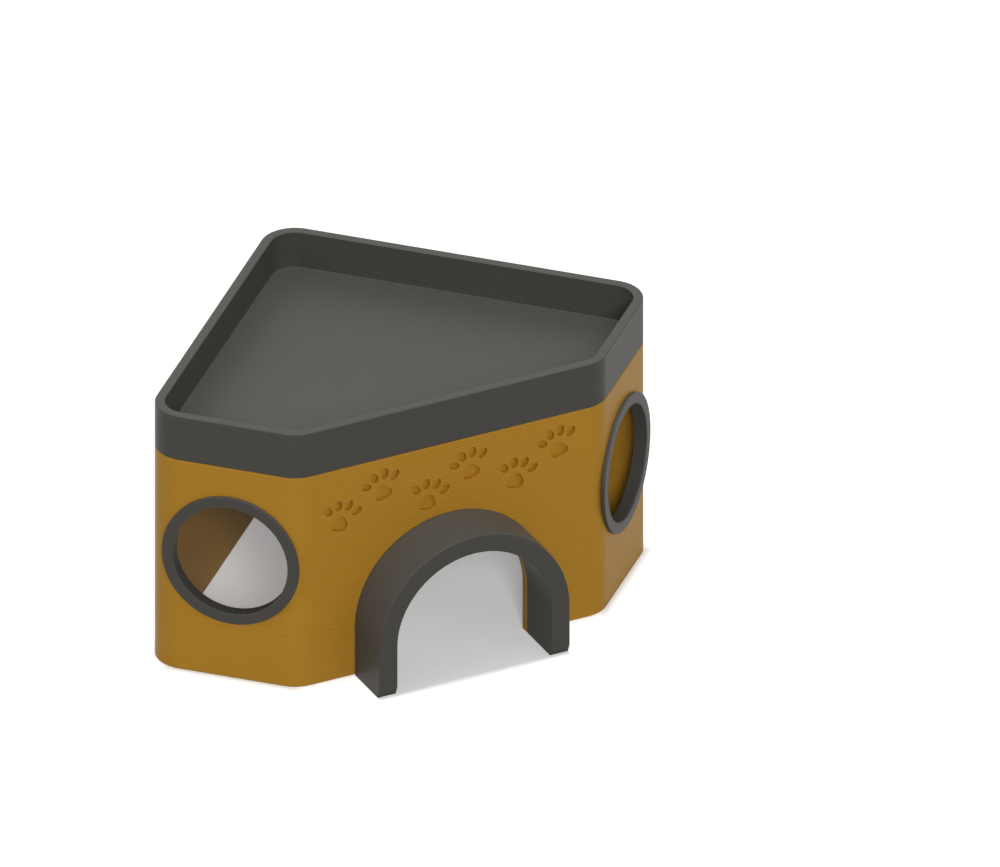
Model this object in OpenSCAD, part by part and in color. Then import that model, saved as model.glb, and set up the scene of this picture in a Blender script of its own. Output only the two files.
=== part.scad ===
// Corner house for a hamster: an open five-sided shell with a lift-off tray roof,
// two window rings and a door arch that push in from outside.
// The front wall faces -Y, X = 0 is the plane of symmetry and the house stands on Z = 0.

/* [House shell] */
// Length of each long back wall, to its sharp corners
back_len = 200; // [170:1:240]
// Length of each short side wall, to its sharp corners
side_len = 80; // [76:1:110]
// Height of the walls
house_h = 120; // [106:1:160]
// Thickness of the walls
wall = 5; // [3:0.5:7]
// Outer radius of the five upright corners
corner_r = 17.5; // [12:0.5:22]

/* [Windows] */
// Radius of the round hole in each side wall
window_r = 32; // [24:0.5:33]
// Height of the middle of the window
window_z = 68; // [60:1:74]

/* [Doorway] */
// Radius of the round top of the doorway, half of its width
door_r = 43; // [32:0.5:48]
// Height at which the round top begins
door_spring = 27.5; // [22:0.5:34]
// Width of the slot that holds a tab of the arch
slot_w = 4; // [3:0.25:6]
// Height of the slot
slot_h = 18.5; // [10:0.5:20]
// Height of the lower end of the slot
slot_z = 7.5; // [6.5:0.5:9]

/* [Roof tray] */
// Height of the band that continues the walls
band_h = 25; // [15:1:40]
// Thickness of the rim round the tray
rim_t = 5; // [3:0.5:8]
// Thickness of the floor of the tray
floor_t = 5; // [2:0.5:8]
// Depth of the lip that drops inside the walls
lip_h = 20; // [8:1:30]
// Thickness of the lip
lip_t = 5; // [2:0.5:7]
// Clearance between the lip and the walls
lip_gap = 0.4; // [0.2:0.1:1]

/* [Window rings] */
// Width of the flange that covers the edge of the hole
flange_w = 4; // [3:0.5:6]
// Thickness of the flange
flange_t = 2; // [1.5:0.5:4]
// Thickness of the sleeve that sits in the hole
sleeve_t = 1.5; // [1:0.1:3]
// Clearance between the sleeve and the hole
sleeve_gap = 0.3; // [0.2:0.1:0.6]

/* [Door arch] */
// Thickness of the arch, seen from the front
arch_t = 10; // [8:0.5:14]
// How far the arch stands out from the front wall
arch_d = 28.5; // [15:0.5:45]
// Height of the sloping cut at the front of each foot
foot_rise = 6; // [1:0.5:8]
// Depth of the sloping cut at the front of each foot
foot_run = 2.3; // [0.5:0.1:5]
// Clearance round each tab in its slot
tab_gap = 0.3; // [0.2:0.1:0.6]

/* [Hidden] */
$fn = 96;
ochre = [0.63, 0.45, 0.15];
charcoal = [0.27, 0.27, 0.25];
// How far a cut runs past the face that it opens
over = 1;
right_angle = 90;
diagonal = right_angle / 2;
// Smallest radius that an inner corner can shrink to
least_r = 1;
// Round corners stand proud of their walls by this much, so that each one meets them in a clean edge
proud = 0.0002;
// The long walls lie on two sides of a square, whose near corner the front wall cuts off
half = back_len / 2;
// The round back corner stops short of the sharp one by this much
corner_loss = corner_r * (1 / cos(diagonal) - 1);
back_reach = half / cos(diagonal) - corner_loss;
front_reach = side_len * cos(diagonal);
// The origin is the middle of the whole footprint, arch included
square_y = (front_reach + arch_d - back_reach) / 2;
front_y = square_y - front_reach;
// Middle of the flat stretch of a side wall, measured from its back end
window_along = (corner_r + side_len - corner_r * tan(diagonal / 2)) / 2;
// Middle of each slot, which is the middle of the foot of the arch in front of it
slot_x = door_r + arch_t / 2;

function facing(a) = [cos(a), sin(a)];
// Corner centres at a distance t from both walls, each with the directions of the two walls
function round_corners(t) =
    let (side = half - t, cut = half - side_len + t * tan(diagonal / 2))
    [
        [[side, side], 0, right_angle],
        [[-side, side], right_angle, 2 * right_angle],
        [[-side, cut], 2 * right_angle, 2 * right_angle + diagonal],
        [[cut, -side], 2 * right_angle + diagonal, 3 * right_angle],
        [[side, -side], 3 * right_angle, 4 * right_angle],
    ];

// Plan of the house moved in by a distance, drawn square to its long walls
module plan(inset) {
    t = max(corner_r, inset + least_r);
    r = t - inset;
    polygon([for (c = round_corners(t)) for (a = [c[1], c[2]]) c[0] + r * facing(a)]);
    for (c = round_corners(t))
        translate(c[0]) circle(r + proud);
}

// Turns what is drawn square to the long walls so that the front wall faces forward
module turned() {
    translate([0, square_y, 0]) rotate(diagonal) children();
}

// Front view of an upright opening or solid with a round top
module round_top(r, spring) {
    translate([0, spring]) circle(r);
    translate([-r, 0]) square([2 * r, spring]);
}

// Extrudes a front view backwards from the given depth
module from_front(y, depth) {
    translate([0, y + depth, 0]) rotate([right_angle, 0, 0]) linear_extrude(depth) children();
}

// Places a child at the middle of a side wall, with its own Z axis pointing out of the house
module at_window(side) {
    mirror([side < 0 ? 1 : 0, 0, 0]) turned()
        translate([half - window_along, -half, window_z])
            rotate([right_angle, 0, 0]) children();
}

// Two equal upright blocks, one behind each foot of the arch
module foot_blocks(w, h, z, y, depth) {
    for (side = [-1, 1])
        translate([side * slot_x - w / 2, y, z]) cube([w, depth, h]);
}

module house_shell() {
    color(ochre) difference() {
        linear_extrude(house_h) turned() difference() {
            plan(0);
            plan(wall);
        }
        // Doorway, cut through the floor line as well
        from_front(front_y - over, wall + 2 * over) round_top(door_r, door_spring);
        foot_blocks(slot_w, slot_h, slot_z, front_y - over, wall + 2 * over);
        for (side = [-1, 1])
            at_window(side) translate([0, 0, -corner_r]) cylinder(r = window_r, h = corner_r + over);
    }
}

module roof_tray() {
    color(charcoal) translate([0, 0, house_h]) difference() {
        union() {
            linear_extrude(band_h) turned() plan(0);
            translate([0, 0, -lip_h]) linear_extrude(lip_h) turned() plan(wall + lip_gap);
        }
        translate([0, 0, floor_t]) linear_extrude(band_h) turned() plan(rim_t);
        translate([0, 0, -lip_h - over]) linear_extrude(lip_h + over) turned() plan(wall + lip_gap + lip_t);
    }
}

module window_ring(side) {
    sleeve_r = window_r - sleeve_gap;
    color(charcoal) at_window(side) difference() {
        union() {
            cylinder(r = window_r + flange_w, h = flange_t);
            translate([0, 0, -wall]) cylinder(r = sleeve_r, h = wall + flange_t);
        }
        translate([0, 0, -wall - over])
            cylinder(r = sleeve_r - sleeve_t, h = wall + flange_t + 2 * over);
    }
}

module window_ring_left() {
    window_ring(-1);
}

module window_ring_right() {
    window_ring(1);
}

module door_arch() {
    outer_r = door_r + arch_t;
    front = front_y - arch_d;
    color(charcoal) {
        difference() {
            from_front(front, arch_d) intersection() {
                difference() {
                    round_top(outer_r, door_spring);
                    round_top(door_r, door_spring);
                }
                translate([-outer_r, 0]) square([2 * outer_r, door_spring + outer_r]);
            }
            // Sloping cut along the lower front edge of both feet
            translate([outer_r + over, front, 0]) rotate([0, -right_angle, 0])
                linear_extrude(2 * (outer_r + over))
                    polygon([[0, 0], [foot_rise, 0], [0, foot_run]]);
        }
        // Tabs that fill the slots and end flush with the inside of the wall
        foot_blocks(slot_w - 2 * tab_gap, slot_h - 2 * tab_gap, slot_z + tab_gap, front_y, wall);
    }
}

house_shell();
roof_tray();
window_ring_left();
window_ring_right();
door_arch();
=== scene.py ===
import math

import bmesh
import bpy
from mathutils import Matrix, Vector


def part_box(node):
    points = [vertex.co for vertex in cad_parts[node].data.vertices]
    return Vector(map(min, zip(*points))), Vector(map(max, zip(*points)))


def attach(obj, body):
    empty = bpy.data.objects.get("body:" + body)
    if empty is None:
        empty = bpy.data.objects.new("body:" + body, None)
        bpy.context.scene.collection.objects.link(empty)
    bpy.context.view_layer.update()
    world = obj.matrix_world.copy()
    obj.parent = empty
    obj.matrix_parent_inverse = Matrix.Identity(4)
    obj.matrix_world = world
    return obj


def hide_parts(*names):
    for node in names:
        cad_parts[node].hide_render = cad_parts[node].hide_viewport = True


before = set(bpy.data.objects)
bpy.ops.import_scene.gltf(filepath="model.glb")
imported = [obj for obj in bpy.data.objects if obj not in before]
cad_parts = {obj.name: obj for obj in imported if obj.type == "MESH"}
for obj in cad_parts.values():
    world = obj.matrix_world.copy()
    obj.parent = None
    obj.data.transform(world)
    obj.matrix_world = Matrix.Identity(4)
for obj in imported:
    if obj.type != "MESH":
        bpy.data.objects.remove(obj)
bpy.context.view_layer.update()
print("Frame loaded:", ", ".join(sorted(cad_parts)))

mm = 0.001  # sizes below are in millimetres
quarter = math.radians(90)
diagonal = math.radians(45)


def metres(*sizes):
    return tuple(size * mm for size in sizes)


# Lowest and highest corner of a node
def nodeBox(name):
    return [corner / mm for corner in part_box(name)]


# Adds a node, sets its properties and fills its sockets. A node given as a value links its first output
def addNode(tree, kind, settings=None, inputs=None):
    node = tree.nodes.new(kind)
    for name, value in (settings or {}).items():
        setattr(node, name, value)
    for name, value in (inputs or {}).items():
        sources = value if isinstance(value, list) else [value]
        for source in sources:
            if isinstance(source, bpy.types.Node):
                source = source.outputs[0]
            if isinstance(source, bpy.types.NodeSocket):
                tree.links.new(source, node.inputs[name])
            else:
                node.inputs[name].default_value = source
    return node


# A colour on screen to its linear channels and full opacity
def hexToLinear(code):
    channels = [int(code[i:i + 2], 16) / 255 for i in (1, 3, 5)]
    return tuple(c / 12.92 if c <= 0.04045 else ((c + 0.055) / 1.055) ** 2.4 for c in channels) + (1.0,)


# Camera: the photograph's parallel view, framed from the round back corner of the house
photoView = {
    "azimuth": -26.44,     # degrees, 0 looks along +Y
    "elevation": 29.79,    # degrees above the floor
    "width": 499.25,       # what the picture's width spans
    "right": 110.1,        # middle of the picture, from the back corner's foot
    "up": 23.8,
    "distance": 1500.0,
    "farthest": 10000.0,
}


def makeCamera(view):
    azimuth, elevation = math.radians(view["azimuth"]), math.radians(view["elevation"])
    right = Vector((math.cos(azimuth), math.sin(azimuth), 0))
    back = Vector((math.sin(azimuth) * math.cos(elevation), -math.cos(azimuth) * math.cos(elevation),
                   math.sin(elevation)))
    up = back.cross(right)
    backFoot = Vector((0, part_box("house_shell")[1].y, 0))
    target = backFoot + right * view["right"] * mm + up * view["up"] * mm
    data = bpy.data.cameras.new("photoCamera")
    data.type = "ORTHO"
    data.ortho_scale = view["width"] * mm
    data.clip_end = view["farthest"] * mm
    camera = bpy.data.objects.new("photoCamera", data)
    camera.location = target + back * view["distance"] * mm
    camera.rotation_mode = "QUATERNION"
    camera.rotation_quaternion = (-back).to_track_quat("-Z", "Y")
    bpy.context.scene.collection.objects.link(camera)
    bpy.context.scene.camera = camera


makeCamera(photoView)
print("Camera placed")


# Printed PLA: soft thread laid in thin level layers. The layers leave fine ribs on the walls and the
# threads leave them on level faces, which scatters most of the gloss and gives the eye a dull satin
plaFinish = {
    "ochre": "#C49030",
    "charcoal": "#52504B",
    "ior": 1.46,
    "specular": 0.13,
    "roughness": 0.45,
    "layerPitch": 2.0,      # real layers are 0.2 high, too fine to show, so they are drawn coarser
    "layerDepth": 0.02,
    "threadPitch": 2.0,     # real threads on level faces are 0.45 wide, drawn coarser too
    "threadDepth": 0.014,
    "layerShade": 0.05,     # share by which the colour changes from layer to layer
    "layerGloss": 0.2,      # share by which the roughness does so
    "cloudShade": 0.02,     # share by which the colour changes over a stretch of wall
    "cloudSize": 25.0,
    "cloudDetail": 3.0,
    "wallUpTo": 0.85,       # a face counts as wall while its normal has this share along the build,
    "levelFrom": 0.97,      # and as level from this share
}
upward = (0.0, 0.0, 1.0)
forward = (0.0, -1.0, 0.0)


# buildUp is the way the piece grew on the printer. The threads of its level faces run straight across, or
# round a centre, and below the centre of an arch they run down its legs
def printedPla(name, colour, buildUp, finish, centre=None, onLegs=False):
    material = bpy.data.materials.new(name)
    material.use_nodes = True
    tree = material.node_tree
    tree.nodes.clear()
    spot = addNode(tree, "ShaderNodeTexCoord").outputs
    height = addNode(tree, "ShaderNodeVectorMath", {"operation": "DOT_PRODUCT"},
                     {0: spot["Object"], 1: buildUp}).outputs["Value"]
    if centre:
        spoke = addNode(tree, "ShaderNodeVectorMath", {"operation": "SUBTRACT"},
                        {0: spot["Object"], 1: centre})
        if onLegs:
            # Limits only the height, because no piece reaches a metre to the left or the front
            spoke = addNode(tree, "ShaderNodeVectorMath", {"operation": "MAXIMUM"},
                            {0: spoke, 1: (-1, -1, 0)})
        along = addNode(tree, "ShaderNodeVectorMath", {"operation": "PROJECT"}, {0: spoke, 1: buildUp})
        spoke = addNode(tree, "ShaderNodeVectorMath", {"operation": "SUBTRACT"}, {0: spoke, 1: along})
        across = addNode(tree, "ShaderNodeVectorMath", {"operation": "LENGTH"}, {0: spoke}).outputs["Value"]
    else:
        slant = (math.cos(diagonal), math.sin(diagonal), 0)
        across = addNode(tree, "ShaderNodeVectorMath", {"operation": "DOT_PRODUCT"},
                         {0: spot["Object"], 1: slant}).outputs["Value"]
    facing = addNode(tree, "ShaderNodeVectorMath", {"operation": "DOT_PRODUCT"},
                     {0: spot["Normal"], 1: buildUp}).outputs["Value"]
    facing = addNode(tree, "ShaderNodeMath", {"operation": "ABSOLUTE"}, {0: facing})
    isLevel = addNode(tree, "ShaderNodeMapRange", {},
                      {"Value": facing, "From Min": finish["wallUpTo"], "From Max": finish["levelFrom"]})

    # Ribs of the layers on walls, mixed with those of the threads on level faces
    ribs = []
    shades = []
    for run, pitch, depth in ((height, "layerPitch", "layerDepth"), (across, "threadPitch", "threadDepth")):
        count = addNode(tree, "ShaderNodeMath", {"operation": "DIVIDE"}, {0: run, 1: finish[pitch] * mm})
        turn = addNode(tree, "ShaderNodeMath", {"operation": "MULTIPLY"}, {0: count, 1: 2 * math.pi})
        wave = addNode(tree, "ShaderNodeMath", {"operation": "SINE"}, {0: turn})
        ribs.append(addNode(tree, "ShaderNodeMath", {"operation": "MULTIPLY"},
                            {0: wave, 1: finish[depth] * mm}))
        shades.append(addNode(tree, "ShaderNodeTexNoise", {"noise_dimensions": "1D"},
                              {"W": count, "Scale": 1.0}))
    relief = addNode(tree, "ShaderNodeMix", {"data_type": "FLOAT"}, {0: isLevel, 2: ribs[0], 3: ribs[1]})
    bump = addNode(tree, "ShaderNodeBump", {}, {"Strength": 1.0, "Distance": 1.0, "Height": relief})
    layer = addNode(tree, "ShaderNodeMix", {"data_type": "FLOAT"}, {0: isLevel, 2: shades[0], 3: shades[1]})
    cloud = addNode(tree, "ShaderNodeTexNoise", {},
                    {"Vector": spot["Object"], "Scale": 1 / (finish["cloudSize"] * mm),
                     "Detail": finish["cloudDetail"]})
    tones = []
    for source, share in ((layer, finish["layerShade"]), (cloud, finish["cloudShade"])):
        tones.append(addNode(tree, "ShaderNodeMapRange", {},
                             {"Value": source, "To Min": 1 - share, "To Max": 1 + share}))
    shade = addNode(tree, "ShaderNodeMath", {"operation": "MULTIPLY"}, {0: tones[0], 1: tones[1]})
    base = addNode(tree, "ShaderNodeVectorMath", {"operation": "SCALE"},
                   {0: hexToLinear(finish[colour])[:3], "Scale": shade})
    middle = finish["roughness"]
    spread = middle * finish["layerGloss"]
    roughness = addNode(tree, "ShaderNodeMapRange", {},
                        {"Value": layer, "To Min": middle - spread, "To Max": middle + spread})
    shader = addNode(tree, "ShaderNodeBsdfPrincipled", {},
                     {"Base Color": base, "Roughness": roughness, "IOR": finish["ior"],
                      "Specular IOR Level": finish["specular"], "Normal": bump})
    addNode(tree, "ShaderNodeOutputMaterial", {}, {"Surface": shader})
    return material


# Starts a tree with a named input for each size: a length if it has a decimal point, a count or an angle in
# degrees if it has none, and a stretch along each axis if it has three numbers. The sizes that a piece keeps
# in groups of their own are only for the script
def startTree(name, sizes):
    tree = bpy.data.node_groups.new(name, "GeometryNodeTree")
    kinds = {float: "NodeSocketFloat", int: "NodeSocketInt", tuple: "NodeSocketVector",
             bpy.types.Object: "NodeSocketObject", bpy.types.Material: "NodeSocketMaterial"}
    tree.interface.new_socket("Outline", in_out="INPUT", socket_type="NodeSocketGeometry")
    for label, value in sizes.items():
        if type(value) in kinds:
            tree.interface.new_socket(label, in_out="INPUT", socket_type=kinds[type(value)])
    tree.interface.new_socket("Piece", in_out="OUTPUT", socket_type="NodeSocketGeometry")
    return tree, addNode(tree, "NodeGroupInput").outputs


mergeUnder = 0.01  # points that a cut left closer than this are merged


def endTree(tree, shape, material):
    shape = addNode(tree, "GeometryNodeMergeByDistance", {}, {"Geometry": shape, "Distance": mergeUnder * mm})
    shape = addNode(tree, "GeometryNodeSetShadeSmooth", {}, {"Geometry": shape})
    shape = addNode(tree, "GeometryNodeRealizeInstances", {}, {"Geometry": shape})
    shape = addNode(tree, "GeometryNodeSetMaterial", {}, {"Geometry": shape, "Material": material})
    addNode(tree, "NodeGroupOutput", {}, {"Piece": shape})


# A flat line of points, closed or open
def outline(name, points, closed):
    count = len(points)
    edges = [(i, (i + 1) % count) for i in range(count if closed else count - 1)]
    mesh = bpy.data.meshes.new(name)
    mesh.from_pydata([metres(x, y, 0) for x, y in points], edges, [])
    shape = bpy.data.objects.new(name, mesh)
    bpy.context.scene.collection.objects.link(shape)
    return shape


# A flat closed curve swept straight along Z from one height to another
def sweepUp(tree, curve, low, high, scale=1.0):
    start = addNode(tree, "ShaderNodeCombineXYZ", {}, {"Z": low})
    end = addNode(tree, "ShaderNodeCombineXYZ", {}, {"Z": high})
    line = addNode(tree, "GeometryNodeCurvePrimitiveLine", {}, {"Start": start, "End": end})
    return addNode(tree, "GeometryNodeCurveToMesh", {},
                   {"Curve": line, "Profile Curve": curve, "Scale": scale, "Fill Caps": True})


# What cuts a hole through a wall whose outer face lies in the plane of the curve
def straightCut(tree, curve, size):
    depth = addNode(tree, "ShaderNodeMath", {"operation": "MULTIPLY"}, {0: size["Cut Depth"], 1: -1.0})
    return sweepUp(tree, curve, depth, size["Wall"])


# The same, with a short cone at each face of the wall that takes the edge off
def bevelledCuts(tree, curve, radius, size):
    below = addNode(tree, "ShaderNodeMath", {"operation": "MULTIPLY"}, {0: size["Edge"], 1: -1.0})
    height = addNode(tree, "GeometryNodeInputPosition")
    height = addNode(tree, "ShaderNodeSeparateXYZ", {}, {"Vector": height}).outputs["Z"]
    growth = addNode(tree, "ShaderNodeMath", {"operation": "ADD"}, {0: height, 1: size["Edge"]})
    scale = addNode(tree, "ShaderNodeMath", {"operation": "DIVIDE"}, {0: growth, 1: radius})
    scale = addNode(tree, "ShaderNodeMath", {"operation": "ADD"}, {0: scale, 1: 1.0})
    cone = sweepUp(tree, curve, below, size["Edge Overrun"], scale)
    inside = addNode(tree, "ShaderNodeMath", {"operation": "MULTIPLY"}, {0: size["Wall"], 1: -1.0})
    inside = addNode(tree, "ShaderNodeCombineXYZ", {}, {"Z": inside})
    innerCone = addNode(tree, "GeometryNodeTransform", {},
                        {"Geometry": cone, "Translation": inside, "Rotation": (0, 2 * quarter, 0)})
    return [straightCut(tree, curve, size), cone, innerCone]


# Keeps what a piece's modifiers make as its plain mesh
def keepShape(piece):
    seen = piece.evaluated_get(bpy.context.evaluated_depsgraph_get())
    old, piece.data = piece.data, bpy.data.meshes.new_from_object(seen)
    piece.data.name = piece.name
    piece.modifiers.clear()
    bpy.data.meshes.remove(old)


# Runs a tree on the outline that it starts from
def runTree(piece, tree, sizes):
    build = piece.modifiers.new("build", "NODES")
    build.node_group = tree
    for socket in tree.interface.items_tree:
        if socket.in_out == "INPUT" and socket.name in sizes:
            size = sizes[socket.name]
            build[socket.identifier] = size * mm if isinstance(size, float) else size
    keepShape(piece)


smoothUnder = 30  # degrees


# Shades small steps smooth and true edges sharp, with broad faces setting the shading along them
def finishShading(piece):
    piece.data.set_sharp_from_angle(angle=math.radians(smoothUnder))
    even = piece.modifiers.new("even", "WEIGHTED_NORMAL")
    even.keep_sharp = True
    keepShape(piece)


# What the shell shares with the pieces that fit it
sharedSizes = {"cornerRadius": 17.5, "cornerSteps": 16, "windowHeight": 68.0}
houseLow, houseHigh = nodeBox("house_shell")


# Plan of the house: a square on its corner, with the near corner cut off by the front wall
def planCorners(radius):
    cornerLoss = radius * (1 / math.cos(diagonal) - 1)
    sideX = houseHigh.x + cornerLoss
    backY = houseHigh.y + cornerLoss
    sideY = backY - sideX
    frontX = sideX - (sideY - houseLow.y)
    return [(-frontX, houseLow.y), (frontX, houseLow.y), (sideX, sideY), (0, backY), (-sideX, sideY)]


corners = planCorners(sharedSizes["cornerRadius"])


# The outline of the plan with its corners rounded
def roundedPlan(tree, size):
    path = addNode(tree, "GeometryNodeMeshToCurve", {}, {"Mesh": size["Outline"]})
    return addNode(tree, "GeometryNodeFilletCurve", {"mode": "POLY"},
                   {"Curve": path, "Radius": size["Corner Radius"], "Count": size["Corner Steps"]})


# Middle of a window, on the outer face of its side wall
def windowSpot(side):
    front, back = Vector(corners[1]), Vector(corners[2])
    roundLoss = sharedSizes["cornerRadius"] * (1 - math.tan(diagonal / 2))
    spot = back + (front - back).normalized() * ((front - back).length + roundLoss) / 2
    return metres(side * spot.x, spot.y, sharedSizes["windowHeight"])


# Half circle round the origin on two straight legs, drawn from the right foot over the top to the left foot
def roundTop(radius, leg, steps):
    turns = [math.pi * i / steps for i in range(steps + 1)]
    top = [(radius * math.cos(turn), radius * math.sin(turn)) for turn in turns]
    return [(radius, -leg)] + top + [(-radius, -leg)]


# House shell: one wall section swept round the plan, then cut by the doorway, the slots and the windows
shellSizes = {
    "Wall": 5.0,
    "Height": houseHigh.z,
    "Rim Rounding": 0.6,
    "Rounding Steps": 4,
    "Corner Radius": sharedSizes["cornerRadius"],
    "Corner Steps": sharedSizes["cornerSteps"],
    "Edge": 0.4,             # what is taken off the edges of the doorway and the windows
    "Edge Overrun": 0.2,     # how far the cone that does so runs on past the wall
    "Cut Depth": 30.0,       # through the round corners that the windows reach into
    "Window Radius": 32.0,
    "Window Steps": 96,
    "Door Radius": 43.0,
    "Slot Width": 4.0,
    "Slot Height": 18.5,
    "Paw Depth": 2.5,
    "Paw Count": 6,
    "Paw Spacing": 24.5,
    "Paw Height": 94.0,
    "Paw Step": 6.0,         # the prints stand by turns this much above and below that height
    "Paw Tilt": 12,          # degrees
    "Pad Radius": 7.8,
    "Pad Stretch": (1.1, 0.9, 1.0),
    "Pad Rounding": 2.9,
    "Pad Steps": 6,
    "Toe Count": 4,
    "Toe Radius": 2.7,
    "Toe Stretch": (0.78, 1.15, 1.0),
    "Toe Steps": 16,
    "Toe Reach": 11.2,       # from the middle of the pad
    "Toe Spread": 31,        # degrees from toe to toe
    "front": {"doorSpring": 27.5, "doorSteps": 64, "slotFoot": 7.5, "slotAside": 48.0},
}


# Places of what stands in a row, counted from the middle of the row
def fromMiddle(tree, count):
    index = addNode(tree, "GeometryNodeInputIndex")
    last = addNode(tree, "ShaderNodeMath", {"operation": "SUBTRACT"}, {0: count, 1: 1.0})
    middle = addNode(tree, "ShaderNodeMath", {"operation": "MULTIPLY"}, {0: last, 1: 0.5})
    return addNode(tree, "ShaderNodeMath", {"operation": "SUBTRACT"}, {0: index, 1: middle})


# Paw prints in a row, as solids that cut into the plane of the XY axes
def pawCuts(tree, size):
    below = addNode(tree, "ShaderNodeMath", {"operation": "MULTIPLY"}, {0: size["Paw Depth"], 1: -1.0})

    # The pad is a broad triangle with round corners, and a toe is a narrow ellipse
    pad = addNode(tree, "GeometryNodeCurvePrimitiveCircle", {"mode": "RADIUS"},
                  {"Resolution": 3, "Radius": size["Pad Radius"]})
    pad = addNode(tree, "GeometryNodeTransform", {}, {"Geometry": pad, "Rotation": (0, 0, quarter)})
    pad = addNode(tree, "GeometryNodeTransform", {}, {"Geometry": pad, "Scale": size["Pad Stretch"]})
    pad = addNode(tree, "GeometryNodeFilletCurve", {"mode": "POLY"},
                  {"Curve": pad, "Radius": size["Pad Rounding"], "Count": size["Pad Steps"]})
    toe = addNode(tree, "GeometryNodeCurvePrimitiveCircle", {"mode": "RADIUS"},
                  {"Resolution": size["Toe Steps"], "Radius": size["Toe Radius"]})
    toe = addNode(tree, "GeometryNodeTransform", {}, {"Geometry": toe, "Scale": size["Toe Stretch"]})

    # Toes on an arc over the pad, each pointing away from it
    spread = addNode(tree, "ShaderNodeMath", {"operation": "RADIANS"}, {0: size["Toe Spread"]})
    lean = addNode(tree, "ShaderNodeMath", {"operation": "MULTIPLY"},
                   {0: fromMiddle(tree, size["Toe Count"]), 1: spread})
    reach = addNode(tree, "ShaderNodeCombineXYZ", {}, {"Y": size["Toe Reach"]})
    spot = addNode(tree, "ShaderNodeVectorRotate", {"rotation_type": "Z_AXIS"},
                   {"Vector": reach, "Angle": lean})
    points = addNode(tree, "GeometryNodePoints", {}, {"Count": size["Toe Count"], "Position": spot})
    turn = addNode(tree, "ShaderNodeCombineXYZ", {}, {"Z": lean})
    toe = sweepUp(tree, toe, below, size["Paw Depth"])
    toes = addNode(tree, "GeometryNodeInstanceOnPoints", {},
                   {"Points": points, "Instance": toe, "Rotation": turn})
    pad = sweepUp(tree, pad, below, size["Paw Depth"])
    pawPrint = addNode(tree, "GeometryNodeJoinGeometry", {}, {"Geometry": [pad, toes]})

    # Every other print stands higher and leans the other way
    sideways = addNode(tree, "ShaderNodeMath", {"operation": "MULTIPLY"},
                       {0: fromMiddle(tree, size["Paw Count"]), 1: size["Paw Spacing"]})
    index = addNode(tree, "GeometryNodeInputIndex")
    odd = addNode(tree, "ShaderNodeMath", {"operation": "MODULO"}, {0: index, 1: 2.0})
    swing = addNode(tree, "ShaderNodeMath", {"operation": "MULTIPLY_ADD"}, {0: odd, 1: 2.0, 2: -1.0})
    up = addNode(tree, "ShaderNodeMath", {"operation": "MULTIPLY_ADD"},
                 {0: swing, 1: size["Paw Step"], 2: size["Paw Height"]})
    spot = addNode(tree, "ShaderNodeCombineXYZ", {}, {"X": sideways, "Y": up})
    points = addNode(tree, "GeometryNodePoints", {}, {"Count": size["Paw Count"], "Position": spot})
    tilt = addNode(tree, "ShaderNodeMath", {"operation": "RADIANS"}, {0: size["Paw Tilt"]})
    tilt = addNode(tree, "ShaderNodeMath", {"operation": "MULTIPLY"}, {0: swing, 1: tilt})
    turn = addNode(tree, "ShaderNodeCombineXYZ", {}, {"Z": tilt})
    row = addNode(tree, "GeometryNodeInstanceOnPoints", {},
                  {"Points": points, "Instance": pawPrint, "Rotation": turn})
    return addNode(tree, "GeometryNodeRealizeInstances", {}, {"Geometry": row})


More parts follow.
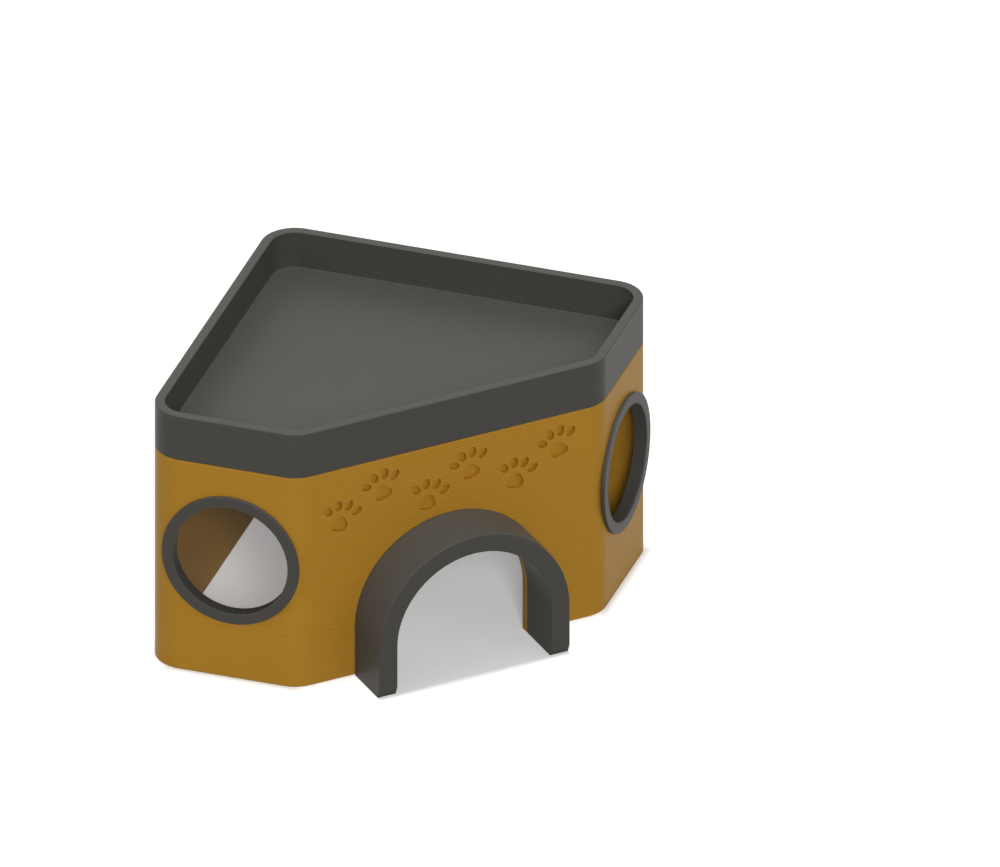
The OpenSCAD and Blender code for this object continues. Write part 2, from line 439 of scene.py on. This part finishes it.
def makeShell(sizes):
    front = sizes["front"]
    points = roundTop(sizes["Door Radius"], front["doorSpring"] + sizes["Cut Depth"], front["doorSteps"])
    doorShape = outline("doorShape", points, True)
    material = printedPla("ochrePrintedPla", "ochre", upward, plaFinish)
    inputs = {**sizes, "Doorway": doorShape, "Material": material}
    tree, size = startTree("shellTree", inputs)
    section = addNode(tree, "GeometryNodeCurvePrimitiveQuadrilateral", {"mode": "RECTANGLE"},
                      {"Width": size["Wall"], "Height": size["Height"]})
    section = addNode(tree, "GeometryNodeFilletCurve", {"mode": "POLY"},
                      {"Curve": section, "Radius": size["Rim Rounding"], "Count": size["Rounding Steps"]})
    inwards = metres(-sizes["Wall"] / 2, -sizes["Height"] / 2, 0)
    section = addNode(tree, "GeometryNodeTransform", {}, {"Geometry": section, "Translation": inwards})
    wall = addNode(tree, "GeometryNodeCurveToMesh", {},
                   {"Curve": roundedPlan(tree, size), "Profile Curve": section})

    # Each cut is drawn in the plane of the XY axes, then stood up in its wall, as (cut, place, way it faces)
    doorway = addNode(tree, "GeometryNodeObjectInfo", {}, {"Object": size["Doorway"]}).outputs["Geometry"]
    doorway = addNode(tree, "GeometryNodeMeshToCurve", {}, {"Mesh": doorway})
    slot = addNode(tree, "GeometryNodeCurvePrimitiveQuadrilateral", {"mode": "RECTANGLE"},
                   {"Width": size["Slot Width"], "Height": size["Slot Height"]})
    slot = straightCut(tree, slot, size)
    window = addNode(tree, "GeometryNodeCurvePrimitiveCircle", {"mode": "RADIUS"},
                     {"Resolution": size["Window Steps"], "Radius": size["Window Radius"]})
    cuts = [(pawCuts(tree, size), metres(0, houseLow.y, 0), 0)]
    for cut in bevelledCuts(tree, doorway, size["Door Radius"], size):
        cuts.append((cut, metres(0, houseLow.y, front["doorSpring"]), 0))
    for side in (-1, 1):
        slotMiddle = front["slotFoot"] + sizes["Slot Height"] / 2
        cuts.append((slot, metres(side * front["slotAside"], houseLow.y, slotMiddle), 0))
        for cut in bevelledCuts(tree, window, size["Window Radius"], size):
            cuts.append((cut, windowSpot(side), side * diagonal))
    cuts = [addNode(tree, "GeometryNodeTransform", {},
                    {"Geometry": cut, "Translation": spot, "Rotation": (quarter, 0, facing)})
            for cut, spot, facing in cuts]
    shell = addNode(tree, "GeometryNodeMeshBoolean", {"operation": "DIFFERENCE", "solver": "MANIFOLD"},
                    {"Mesh 1": wall, "Mesh 2": cuts})
    endTree(tree, shell, size["Material"])
    shell = outline("houseShell", corners, True)
    runTree(shell, tree, inputs)
    finishShading(shell)
    bpy.data.objects.remove(doorShape)
    return shell


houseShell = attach(makeShell(shellSizes), "house")
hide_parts("house_shell")
print("House shell built:", len(houseShell.data.polygons), "faces")


# Roof tray: one stepped section, from the tray's floor over the rim and round the lip to the ceiling, swept
# round the plan. The floor and the ceiling then close it
traySizes = {
    "Corner Radius": sharedSizes["cornerRadius"],
    "Corner Steps": sharedSizes["cornerSteps"],
    "Edge Rounding": 0.5,
    "Rounding Steps": 4,
    # the parts of the section, and how far its floor and ceiling start inside the rim and the lip
    "section": {"rim": 5.0, "floor": 5.0, "lipInset": 5.4, "lip": 5.0, "overlap": 2.0},
}
trayLow, trayHigh = nodeBox("roof_tray")


def makeTray(sizes):
    part = sizes["section"]
    seat, top, foot = houseHigh.z, trayHigh.z, trayLow.z
    rim, lipOutside, lipInside = part["rim"], part["lipInset"], part["lipInset"] + part["lip"]
    points = [(-rim - part["overlap"], seat + part["floor"]), (-rim, seat + part["floor"]), (-rim, top),
              (0, top), (0, seat), (-lipOutside, seat), (-lipOutside, foot), (-lipInside, foot),
              (-lipInside, seat), (-lipInside - part["overlap"], seat)]
    sectionShape = outline("traySection", [(out, -height) for out, height in points], False)
    material = printedPla("charcoalPrintedPlaTray", "charcoal", upward, plaFinish)
    inputs = {**sizes, "Section": sectionShape, "Material": material}
    tree, size = startTree("trayTree", inputs)
    section = addNode(tree, "GeometryNodeObjectInfo", {}, {"Object": size["Section"]}).outputs["Geometry"]
    section = addNode(tree, "GeometryNodeMeshToCurve", {}, {"Mesh": section})
    section = addNode(tree, "GeometryNodeFilletCurve", {"mode": "POLY"},
                      {"Curve": section, "Radius": size["Edge Rounding"], "Count": size["Rounding Steps"]})
    tray = addNode(tree, "GeometryNodeCurveToMesh", {},
                   {"Curve": roundedPlan(tree, size), "Profile Curve": section})
    endTree(tree, tray, size["Material"])
    tray = outline("roofTray", corners, True)
    runTree(tray, tree, inputs)
    bpy.data.objects.remove(sectionShape)

    # Fills the floor of the tray and the ceiling
    mesh = bmesh.new()
    mesh.from_mesh(tray.data)
    bmesh.ops.holes_fill(mesh, edges=[edge for edge in mesh.edges if edge.is_boundary], sides=0)
    for face in mesh.faces:
        face.smooth = True
    mesh.to_mesh(tray.data)
    mesh.free()
    finishShading(tray)
    return tray


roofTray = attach(makeTray(traySizes), "roof")
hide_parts("roof_tray")
print("Roof tray built:", len(roofTray.data.polygons), "faces")


# Window rings: a section with a flange outside and a sleeve in the hole, swept round the hole's middle
ringSizes = {
    "Inner Radius": 30.2,
    "Ring Steps": 128,
    "Edge Rounding": 0.3,
    "Rounding Steps": 4,
    "section": {"sleeve": 1.5, "sleeveLength": 5.0, "flange": 2.0, "flangeReach": 5.8},
}


def makeRing(side, name, sizes):
    part = sizes["section"]
    sleeve, reach = part["sleeve"], part["flangeReach"]
    points = [(0, part["flange"]), (reach, part["flange"]), (reach, 0), (sleeve, 0),
              (sleeve, -part["sleeveLength"]), (0, -part["sleeveLength"])]
    outward = (side * math.sin(diagonal), -math.cos(diagonal), 0)
    material = printedPla("charcoalPrintedPla" + name[0].upper() + name[1:], "charcoal", outward,
                          plaFinish, centre=windowSpot(side))
    inputs = {**sizes, "Material": material}
    tree, size = startTree(name + "Tree", inputs)
    section = addNode(tree, "GeometryNodeMeshToCurve", {}, {"Mesh": size["Outline"]})
    section = addNode(tree, "GeometryNodeFilletCurve", {"mode": "POLY"},
                      {"Curve": section, "Radius": size["Edge Rounding"], "Count": size["Rounding Steps"]})
    circle = addNode(tree, "GeometryNodeCurvePrimitiveCircle", {"mode": "RADIUS"},
                     {"Resolution": size["Ring Steps"], "Radius": size["Inner Radius"]})
    ring = addNode(tree, "GeometryNodeCurveToMesh", {}, {"Curve": circle, "Profile Curve": section})
    standing = (quarter, 0, side * diagonal)
    ring = addNode(tree, "GeometryNodeTransform", {},
                   {"Geometry": ring, "Translation": windowSpot(side), "Rotation": standing})
    endTree(tree, ring, size["Material"])
    ring = outline(name, [(out, -along) for out, along in points], True)
    runTree(ring, tree, inputs)
    finishShading(ring)
    return ring


for side, name, body, node in ((-1, "windowRingLeft", "left_ring", "window_ring_left"),
                               (1, "windowRingRight", "right_ring", "window_ring_right")):
    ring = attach(makeRing(side, name, ringSizes), body)
    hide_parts(node)
print("Window rings built:", len(ring.data.polygons), "faces each")


# Door arch: a rounded bar swept up one leg, over the top and down the other, with its feet cut back at the
# front and a tab behind each foot
archLow, archHigh = nodeBox("door_arch")
archSizes = {
    "Thickness": 10.0,
    "Depth": houseLow.y - archLow.y,
    "Edge Rounding": 0.6,
    "Rounding Steps": 4,
    "Tab Width": 3.4,
    "Tab Height": 17.9,
    "Tab Length": 7.0,
    "leg": {"footRise": 6.0, "footRun": 2.3, "tabFoot": 7.8, "steps": 96},
}


def makeArch(sizes):
    leg = sizes["leg"]
    footRise, footRun = leg["footRise"], leg["footRun"]
    radius = archHigh.x - sizes["Thickness"] / 2
    spring = archHigh.z - archHigh.x
    centre = metres(0, archLow.y, spring)
    material = printedPla("charcoalPrintedPlaArch", "charcoal", forward, plaFinish, centre=centre,
                          onLegs=True)
    inputs = {**sizes, "Material": material}
    tree, size = startTree("archTree", inputs)
    path = addNode(tree, "GeometryNodeMeshToCurve", {}, {"Mesh": size["Outline"]})
    section = addNode(tree, "GeometryNodeCurvePrimitiveQuadrilateral", {"mode": "RECTANGLE"},
                      {"Width": size["Thickness"], "Height": size["Depth"]})
    section = addNode(tree, "GeometryNodeFilletCurve", {"mode": "POLY"},
                      {"Curve": section, "Radius": size["Edge Rounding"], "Count": size["Rounding Steps"]})
    arch = addNode(tree, "GeometryNodeCurveToMesh", {},
                   {"Curve": path, "Profile Curve": section, "Fill Caps": True})
    arch = addNode(tree, "GeometryNodeTransform", {},
                   {"Geometry": arch, "Translation": metres(0, houseLow.y - sizes["Depth"] / 2, spring),
                    "Rotation": (quarter, 0, 0)})

    # Sloping cut along the lower front edge of both feet, drawn from the side
    slope = footRun / footRise
    front, beyond = archLow.y, 1.0
    cutEnds = {"Point 1": metres(front - beyond, -beyond, 0),
               "Point 2": metres(front + footRun + slope * beyond, -beyond, 0),
               "Point 3": metres(front - slope * beyond, footRise + beyond, 0),
               "Point 4": metres(front - beyond, footRise + beyond, 0)}
    wedge = addNode(tree, "GeometryNodeCurvePrimitiveQuadrilateral", {"mode": "POINTS"}, cutEnds)
    wedge = sweepUp(tree, wedge, *metres(-archHigh.x - beyond, archHigh.x + beyond))
    wedge = addNode(tree, "GeometryNodeTransform", {}, {"Geometry": wedge, "Rotation": (quarter, 0, quarter)})
    arch = addNode(tree, "GeometryNodeMeshBoolean", {"operation": "DIFFERENCE", "solver": "MANIFOLD"},
                   {"Mesh 1": arch, "Mesh 2": wedge})
    box = addNode(tree, "ShaderNodeCombineXYZ", {},
                  {"X": size["Tab Width"], "Y": size["Tab Length"], "Z": size["Tab Height"]})
    tab = addNode(tree, "GeometryNodeMeshCube", {}, {"Size": box})
    tabBack, tabMiddle = archHigh.y - sizes["Tab Length"] / 2, leg["tabFoot"] + sizes["Tab Height"] / 2
    parts = [arch]
    for side in (-1, 1):
        spot = metres(side * radius, tabBack, tabMiddle)
        parts.append(addNode(tree, "GeometryNodeTransform", {}, {"Geometry": tab, "Translation": spot}))
    arch = addNode(tree, "GeometryNodeMeshBoolean", {"operation": "UNION", "solver": "MANIFOLD"},
                   {"Mesh 2": parts})
    endTree(tree, arch, size["Material"])
    arch = outline("doorArch", roundTop(radius, spring, leg["steps"]), False)
    runTree(arch, tree, inputs)
    finishShading(arch)
    return arch


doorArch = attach(makeArch(archSizes), "arch")
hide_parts("door_arch")
print("Door arch built:", len(doorArch.data.polygons), "faces")


# Floor, light and backdrop
studio = {
    "floorSize": 12000.0,
    "floorBounce": "#8E8E8C",   # what the floor throws back on the object
    "floorGlow": 0.28,          # the floor's own share of white, as the camera sees it
    "floorLit": 0.93,           # the share that it takes from the light
    "skyOverhead": 0.4,         # strength of the sky straight up, which falls to 0 at the horizon
}
# Angles are in degrees: softness is how wide the lamp looks, height is above the floor and side is how far
# it stands to the left of the front
studioLamps = {
    "ceilingLamp": {"strength": 1.35, "softness": 4, "height": 90, "side": 0},
    "leftLamp": {"strength": 0.3, "softness": 35, "height": 25, "side": 90},
    "frontLamp": {"strength": 1.15, "softness": 14, "height": 28, "side": 20},
    "rightLamp": {"strength": 0.2, "softness": 35, "height": 28, "side": -30},
    "backLamp": {"strength": 0.5, "softness": 35, "height": 30, "side": 180},
}


# 1 where the floor or the sky is seen straight, in a gloss or through glass, and 0 where it only lights
def seenDirectly(tree):
    path = addNode(tree, "ShaderNodeLightPath").outputs
    seen = addNode(tree, "ShaderNodeMath", {"operation": "MAXIMUM"},
                   {0: path["Is Camera Ray"], 1: path["Is Glossy Ray"]})
    return addNode(tree, "ShaderNodeMath", {"operation": "MAXIMUM"},
                   {0: seen, 1: path["Is Transmission Ray"]})


def makeFloor(sizes):
    half = sizes["floorSize"] / 2
    ends = ((-half, -half), (half, -half), (half, half), (-half, half))
    mesh = bpy.data.meshes.new("floor")
    mesh.from_pydata([metres(x, y, 0) for x, y in ends], [], [(0, 1, 2, 3)])
    floor = bpy.data.objects.new("floor", mesh)
    bpy.context.scene.collection.objects.link(floor)
    material = bpy.data.materials.new("paleFloor")
    material.use_nodes = True
    tree = material.node_tree
    tree.nodes.clear()
    glow = addNode(tree, "ShaderNodeEmission", {}, {"Color": (1, 1, 1, 1), "Strength": sizes["floorGlow"]})
    lit = addNode(tree, "ShaderNodeBsdfDiffuse", {}, {"Color": (sizes["floorLit"],) * 3 + (1,)})
    bounce = addNode(tree, "ShaderNodeBsdfDiffuse", {}, {"Color": hexToLinear(sizes["floorBounce"])})
    seen = addNode(tree, "ShaderNodeAddShader", {}, {0: glow, 1: lit})
    mixed = addNode(tree, "ShaderNodeMixShader", {}, {0: seenDirectly(tree), 1: bounce, 2: seen})
    addNode(tree, "ShaderNodeOutputMaterial", {}, {"Surface": mixed})
    mesh.materials.append(material)


def makeLight(sizes, lamps):
    for name, lamp in lamps.items():
        data = bpy.data.lights.new(name, "SUN")
        data.energy = lamp["strength"]
        data.angle = math.radians(lamp["softness"])
        sun = bpy.data.objects.new(name, data)
        sun.rotation_euler = (quarter - math.radians(lamp["height"]), 0, -math.radians(lamp["side"]))
        bpy.context.scene.collection.objects.link(sun)
    world = bpy.data.worlds.new("softStudio")
    bpy.context.scene.world = world
    world.use_nodes = True
    tree = world.node_tree
    tree.nodes.clear()
    direction = addNode(tree, "ShaderNodeTexCoord").outputs["Generated"]
    height = addNode(tree, "ShaderNodeSeparateXYZ", {}, {"Vector": direction}).outputs["Z"]
    light = addNode(tree, "ShaderNodeMapRange", {}, {"Value": height, "To Max": sizes["skyOverhead"]})
    strength = addNode(tree, "ShaderNodeMix", {"data_type": "FLOAT"},
                       {0: seenDirectly(tree), 2: light, 3: 1.0})
    sky = addNode(tree, "ShaderNodeBackground", {}, {"Color": (1, 1, 1, 1), "Strength": strength})
    addNode(tree, "ShaderNodeOutputWorld", {}, {"Surface": sky})


makeFloor(studio)
makeLight(studio, studioLamps)
bpy.context.scene.view_settings.view_transform = "Standard"
print("Studio lit")
